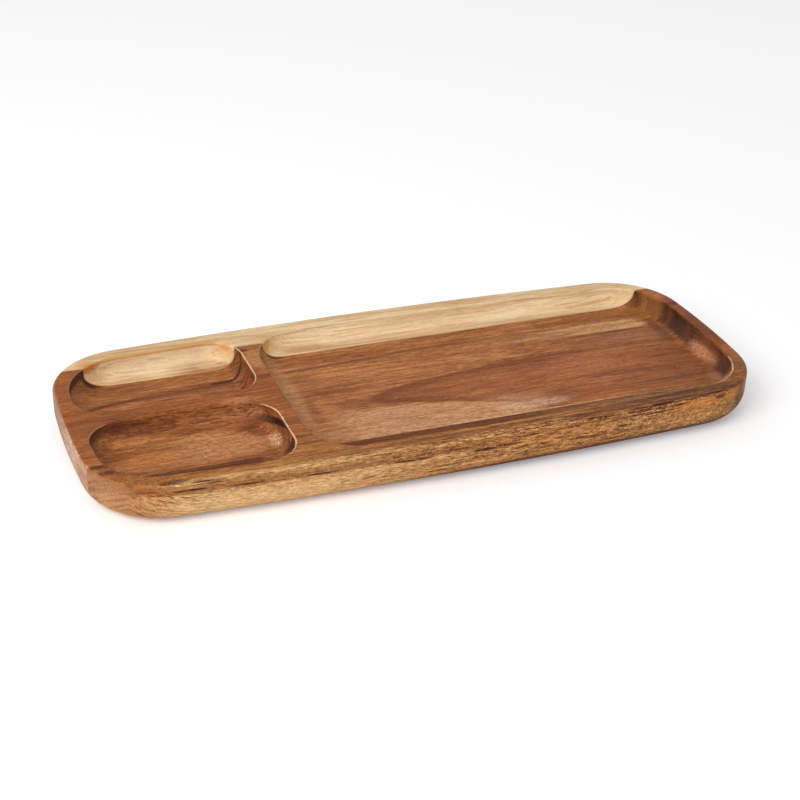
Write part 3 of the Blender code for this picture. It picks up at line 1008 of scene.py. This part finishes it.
# %% Streaked wood: band and rim
edge = y + (gold.streaks - 0.5) * 3.0
band = edge.window(front_glue - 5.0, front_glue + 2.0, 0.9) * z.step(19, 15)
band = band * x.step(115, 30) * (1.0 - x.window(-95, -60, 4))
gold.lay(band * (gold.streaks * 1.5 + 0.15), (90, 42, 8))
olive_strip = z.step(19, 15) * x.step(70, 115)
gold.lay(olive_strip * 0.7, gold.pair(share, (92, 58, 34), (166, 122, 80)))
rim = z.step(20.5, 22.5)
upwards = (gold.up + x.step(70, 110) * 0.4).step(0.6, 0.95)
right_rim = x.step(-90, 40) * upwards * rim * (1.0 - rim_outer)
gold.lay(right_rim * 0.6, gold.pair(share, (88, 40, 14), (158, 96, 48)))
dark_rim = (inset + (gold.streaks - 0.5) * 6.0).window(3.0, 8.5, 1.5) * x.step(60, 105) * rim
gold.lay(dark_rim * 0.65, (78, 36, 14))
rim_grain = gold.noise(gold.fibres, (30, 0.8, 0.8), detail=3, roughness=0.7)
gold.lay(rim_grain.step(0.52, 0.6) * rim * 0.6, (84, 38, 14))
gold.lay(rim_grain.step(0.46, 0.37) * rim * 0.4, (200, 142, 82))
gold.report("band and rim")

# %% [markdown]
# Under the rim the outer face has a browner band with long streaks, and at the left corner the lines of
# the grain sweep down like a fan. Each is noise along the fibres, stretched to its own size.

# %% Streaked wood: streaks of the outer face
near_edge = gold.up.step(0.98, 0.85)
brow = (z + gold.fray(1.5)).window(18.2, 22.4, 0.8) * near_edge * y.step(-60, -64)
brow_strength = x.curve([(-190, 0.5), (-120, 0.65), (-20, 0.65), (20, 0.35), (60, 0.0)])
gold.lay(brow * brow_strength, (150, 84, 34))
gold.lay(z.window(18.0, 20.4, 0.7) * gold.streaks * x.step(20, -10) * near_edge * 0.6, (118, 60, 22))
long_streaks = gold.veins((16, 1.5, 0.8), 0.55, 0.62, roughness=0.6)
upper = z.step(15.5, 18.0) * (outer_face + inset.step(3.0, 1.0)).step(0, 1)
gold.lay(long_streaks * upper * 0.6, (98, 50, 20))
fan = gold.veins((18, 2.0, 1.2), 0.54, 0.62, roughness=0.6)
gold.lay(fan * outer_face * x.window(-170, -136, 7) * z.step(20, 17) * 0.85, (104, 54, 22))
clusters = gold.veins((22, 5.0, 1.2), 0.53, 0.62, detail=3, roughness=0.65)
cluster_strength = x.curve([(-60, 0.0), (0, 0.55), (45, 0.9), (90, 0.85), (170, 0.5)])
gold.lay(clusters * outer_face * cluster_strength, (118, 54, 22))
edge_lines = gold.veins((18, 1.4, 0.5), 0.5, 0.57, roughness=0.6) * z.window(22.0, 23.9, 0.6)
gold.lay(edge_lines * inset.step(3.5, 2.0) * x.step(30, 80), (70, 32, 14))
gold.report("streaks of the outer face")

# %% [markdown]
# Short flecks and dots get denser towards the right, and faint ripples cross the fibres. A Voronoi
# texture gives flecks of one size; noises of several sizes, cut at their dark and light ends, look less
# regular.

# %% Streaked wood: flecks and ripples
slanted = gold.vector(x * 0.94 + z * 0.34, y, z * 0.94 - x * 0.34)
slanted_flecks = gold.noise(slanted, (3.5, 3.0, 0.7), roughness=0.7).step(0.57, 0.64)
flecked = (outer_face + rim_outer).step(0, 1)
fleck_strength = x.curve([(-190, 0.35), (-60, 0.4), (-10, 0.7), (50, 0.95), (190, 0.95)])
thin_flecks = gold.noise(gold.fibres, (5.0, 1.0, 0.42), roughness=0.75)
gold.lay(thin_flecks.step(0.55, 0.59) * flecked * fleck_strength, (84, 34, 12))
gold.lay(thin_flecks.step(0.45, 0.38) * flecked * fleck_strength * 0.35, (230, 174, 112))
dots = gold.noise(gold.fibres, (2.4, 1.0, 0.45), detail=1)
gold.lay(dots.step(0.6, 0.66) * flecked * fleck_strength * 0.8, (78, 32, 10))
gold.lay(dots.step(0.4, 0.34) * flecked * fleck_strength * 0.5, (232, 184, 122))
ripples = gold.veins((0.9, 6.0, 2.0), 0.5, 0.62, roughness=0.6)
strengths = [(-190, 0.0), (-150, 0.0), (-90, 0.12), (-20, 0.15), (60, 0.25), (120, 0.5), (190, 0.3)]
gold.lay(ripples * outer_face * x.curve(strengths), (236, 186, 126))
gold.lay(slanted_flecks * outer_face * x.step(-30, 50) * 0.8, (92, 40, 14))
gold.report("flecks and ripples")

# %% [markdown]
# The foot of the outer face turns down away from the light, and it is painted browner than its shade
# makes it, as painted shade, with a dark painted line where it faces down; towards the left its tone is
# a paler orange. The belly above it is painted paler, as painted light, and a place near the right corner
# is orange. They are broad masks with soft limits.

# %% Streaked wood: foot and belly
foot_top = x.curve([(-190, 4.8), (-60, 5.4), (30, 8.0), (110, 8.0), (190, 7.0)])
# Painted shade: the foot is painted browner, most of all towards the right.
shaded_foot = (z + gold.fray(3.0) - foot_top).step(0.0, -4.0)
shaded_foot = shaded_foot * x.curve([(-190, 0.25), (-60, 0.4), (30, 0.9), (100, 0.85), (190, 0.55)])
shaded_foot_tones = [(-150, (206, 140, 72)), (-60, (186, 112, 46)), (30, (124, 68, 22)), (150, (122, 68, 24))]
gold.lay(shaded_foot, x.tones(shaded_foot_tones))
dashes = gold.veins((9.0, 1.1, 1.0), 0.46, 0.4, roughness=0.6)
gold.lay(dashes * rim_outer * 0.4, (224, 174, 114))
# Painted shade: a dark line where the foot faces down.
shaded_foot_line = gold.up.step(-0.42, -0.62) * x.step(-60, 20)
gold.lay(shaded_foot_line * 0.7, (96, 46, 16))
# Painted light: the belly is painted paler.
lit_belly = z.window(5.0, 12.0, 2.5) * x.window(-140, -85, 30) * outer_face
gold.lay(lit_belly * 0.4, (238, 198, 144))
orange = x.window(128, 168, 10) * z.window(17.0, 22.0, 2.0) * outer_face
gold.lay(orange * 0.6, (196, 124, 58))
gold.report("foot and belly")

# %% [markdown]
# The clearest streaks of the rim and of the left corner are placed one by one, as on the centre stave,
# with one patch of painted shade on the front pocket's right wall. They are thinner than there, so the
# hairs break them up and not the streaks.

# %% Streaked wood: marks of the rim and the left corner
broken = gold.hairs.step(0.3, 0.55) * 1.1
corner_marks = [
    ((-172, -57, 24), (14, 8, 2), (146, 80, 30), 0.6),
    ((-180, -47.5, 24), (9, 1.9, 2), (84, 38, 8), 1.1),
    ((-173, -54, 24), (11, 2.2, 2), (84, 38, 8), 1.1),
    ((-163, -57.5, 24), (10, 1.2, 2), (90, 44, 12), 0.9),
    ((-80, -50, 24), (12, 1.2, 2), (92, 48, 20), 0.8),
    ((-76, -56.5, 24), (14, 1.0, 2), (90, 46, 20), 0.7),
    ((-56, -74, 24), (10, 0.8, 2), (112, 62, 26), 0.8),
    ((-18, -70, 24), (24, 6, 2), (104, 56, 22), 0.3),
    # Painted shade: the front part of the front pocket's right wall, facing away from the lamp.
    ((-84, -49, 19), (5, 4, 5), (60, 28, 14), 1.0),
    ((-150, -72.5, 23.9), (8, 1.6, 1.2), (80, 38, 12), 1.1),
    ((-133, -75, 23.4), (9, 1.6, 0.3), (84, 42, 14), 1.1),
    ((-133, -76, 22.4), (9, 1.6, 0.3), (84, 42, 14), 1.1),
    ((-161, -70.5, 20.4), (5, 4, 0.7), (74, 34, 12), 1.2),
    ((-160, -70, 21.8), (14, 5, 2.0), (152, 86, 32), 0.7),
    ((-170, -66, 22.5), (2.5, 3, 1.0), (92, 54, 30), 1.1),
    ((-166, -68, 19.5), (3, 4, 0.8), (84, 46, 22), 1.1),
    ((-171, -64, 18), (2.5, 4, 1.0), (110, 66, 38), 1.0),
    ((-142, -75.5, 19.8), (8, 4, 0.6), (70, 32, 10), 1.3),
    ((-114, -77, 18.8), (8, 4, 0.5), (78, 38, 14), 1.2),
    ((-76, -78.5, 18.4), (7, 4, 0.5), (78, 38, 14), 1.1),
]
gold.marks(corner_marks, broken)
gold.report("marks of the left corner")

# %% [markdown]
# The long face has its own streaks and dots, closer together towards the right, with a few broad warm
# places over them. Their masks are ellipsoids too, because a streak runs on a little way into the wood.

# %% Streaked wood: marks of the long face
face_marks = [
    ((68, -74, 24), (8, 1.3, 2), (84, 42, 22), 0.8),
    ((-27, -79.4, 17.5), (10, 4, 0.5), (84, 40, 14), 1.7),
    ((12, -79.5, 16.7), (6, 4, 0.8), (62, 30, 14), 1.2),
    ((25, -79.4, 17.0), (8, 4, 0.7), (70, 32, 12), 1.8),
    ((44, -79, 17.2), (4, 4, 0.9), (70, 32, 12), 1.8),
    ((50, -79, 19.3), (4, 4, 0.9), (76, 36, 14), 1.7),
    ((-13, -77.6, 23.9), (6, 0.9, 1), (92, 48, 20), 0.9),
    ((-160, -66, 22), (18, 7, 4), (150, 88, 40), 0.3),
    ((-2, -79.5, 19.5), (6, 4, 0.5), (104, 54, 24), 1.2),
    ((-13, -79.0, 8.6), (7, 4, 0.5), (120, 70, 30), 1.2),
    ((-8, -79.5, 11.1), (4, 4, 0.5), (124, 74, 34), 0.9),
    ((-51, -79, 11.8), (3.5, 4, 0.5), (130, 80, 38), 1.0),
    ((71, -78.6, 17.8), (3, 4, 0.7), (80, 40, 16), 1.0),
    ((93, -78, 15.5), (3, 4, 0.8), (80, 40, 16), 1.0),
    ((104, -77.5, 22.3), (8, 4, 0.7), (92, 44, 24), 1.0),
    ((117, -77, 21.6), (4, 4, 0.8), (104, 48, 26), 1.0),
    ((128, -76.5, 21.8), (5, 4, 0.7), (96, 44, 22), 1.0),
    ((116, -77, 19.5), (12, 4, 0.4), (88, 42, 20), 1.1),
    ((80, -78, 21.4), (14, 4, 0.5), (92, 44, 20), 1.1),
    ((98, -77.6, 20.4), (12, 4, 0.5), (84, 40, 18), 1.1),
    ((76, -78.3, 12.5), (9, 4, 0.6), (104, 54, 24), 0.9),
    ((88, -78, 8.8), (8, 4, 0.6), (110, 58, 26), 0.9),
    ((48, -79.1, 11.5), (7, 4, 0.6), (104, 54, 24), 0.9),
    ((34, -79.3, 14.2), (6, 4, 0.6), (104, 54, 24), 0.9),
    ((86, -78, 19.5), (5, 4, 0.4), (110, 56, 28), 0.9),
    ((91, -77.7, 11.3), (4, 4, 0.7), (140, 72, 34), 0.8),
    ((154, -73, 21.5), (4, 4, 1.4), (84, 42, 18), 0.9),
    ((80, -48, 16), (14, 3, 3), (84, 44, 22), 0.5),
    ((136, -76, 12), (32, 6, 4), (210, 144, 78), 0.35),
    ((60, -78.7, 18), (30, 4, 4), (206, 138, 76), 0.5),
    ((60, -78.7, 8), (30, 4, 5), (150, 92, 46), 0.3),
    ((60, -78.8, 20.8), (9, 4, 0.6), (92, 44, 20), 1.0),
    ((38, -79.3, 20.6), (6, 4, 0.6), (92, 44, 20), 1.0),
    ((66, -78.6, 13.5), (5, 4, 0.6), (96, 46, 20), 0.9),
    ((57, -78.9, 15.6), (4, 4, 0.7), (92, 44, 20), 1.0),
    ((172, -67, 15), (6, 6, 10), (92, 50, 26), 0.75),
    ((-164, -66, 10), (14, 12, 9), (180, 114, 58), 0.5),
]
gold.marks(face_marks, broken)
gold.report("marks of the face")

# %% [markdown]
# The left end turns across the fibres and shows rings, and on the rim's rounded inner edge a pale highlight
# is painted in places. The gloss varies a little with the streaks, as oil dries unevenly; a Coat would look
# like varnish.

# %% Streaked wood: ends, edges and gloss
left_end = gold.to_right.step(-0.42, -0.68) * (x + gold.fray(14.0)).step(-163, -173)
arcs = gold.vector(0.0, (z + 14.0) * 0.5 + y * 0.32, y * 0.05)
end_rings = gold.noise(arcs, (1, 1, 1), detail=3, roughness=0.6).step(0.34, 0.56)
corner_tones = [(0, (212, 162, 106)), (8, (190, 136, 90)), (16, (180, 126, 86)), (23, (158, 108, 66))]
gold.lay(left_end * 0.85, gold.mix(end_rings, paint(142, 92, 62), z.tones(corner_tones)))
right_end = gold.to_right.step(0.5, 0.85) * x.step(160, 175)
gold.lay(right_end * 0.6, gold.pair(end_rings, (96, 62, 38), (150, 106, 66)))
inner_edge = gold.up.window(0.45, 0.9, 0.1) * z.step(22.2, 22.9)
inner_edge = inner_edge * (gold.to_rear - gold.to_right).step(0, 0.3)
# Painted highlights along the rim's rounded inner edge.
edge_highlight = inner_edge * (x.step(150, 164) + x.window(-93, -79, 2))
gold.lay(edge_highlight * (gold.hairs + 0.25), (230, 196, 160))
far_edge_highlight = inner_edge * x.curve([(-60, 0.0), (-45, 1.0), (20, 1.0), (80, 0.3), (110, 0.0)])
gold.lay(far_edge_highlight, (236, 196, 150))
pores = gold.pores()
gold.lay(pores * 0.4, (76, 40, 16))
fine = x.curve([(-190, 1.2), (-60, 1.3), (30, 2.0), (190, 1.9)])
gold.finish(fine, 0.46 + (gold.streaks - 0.5) * 0.2, gold.hairs - pores * 0.6, 0.06)
staves["front"].data.materials.append(gold.material)
gold.report("all")
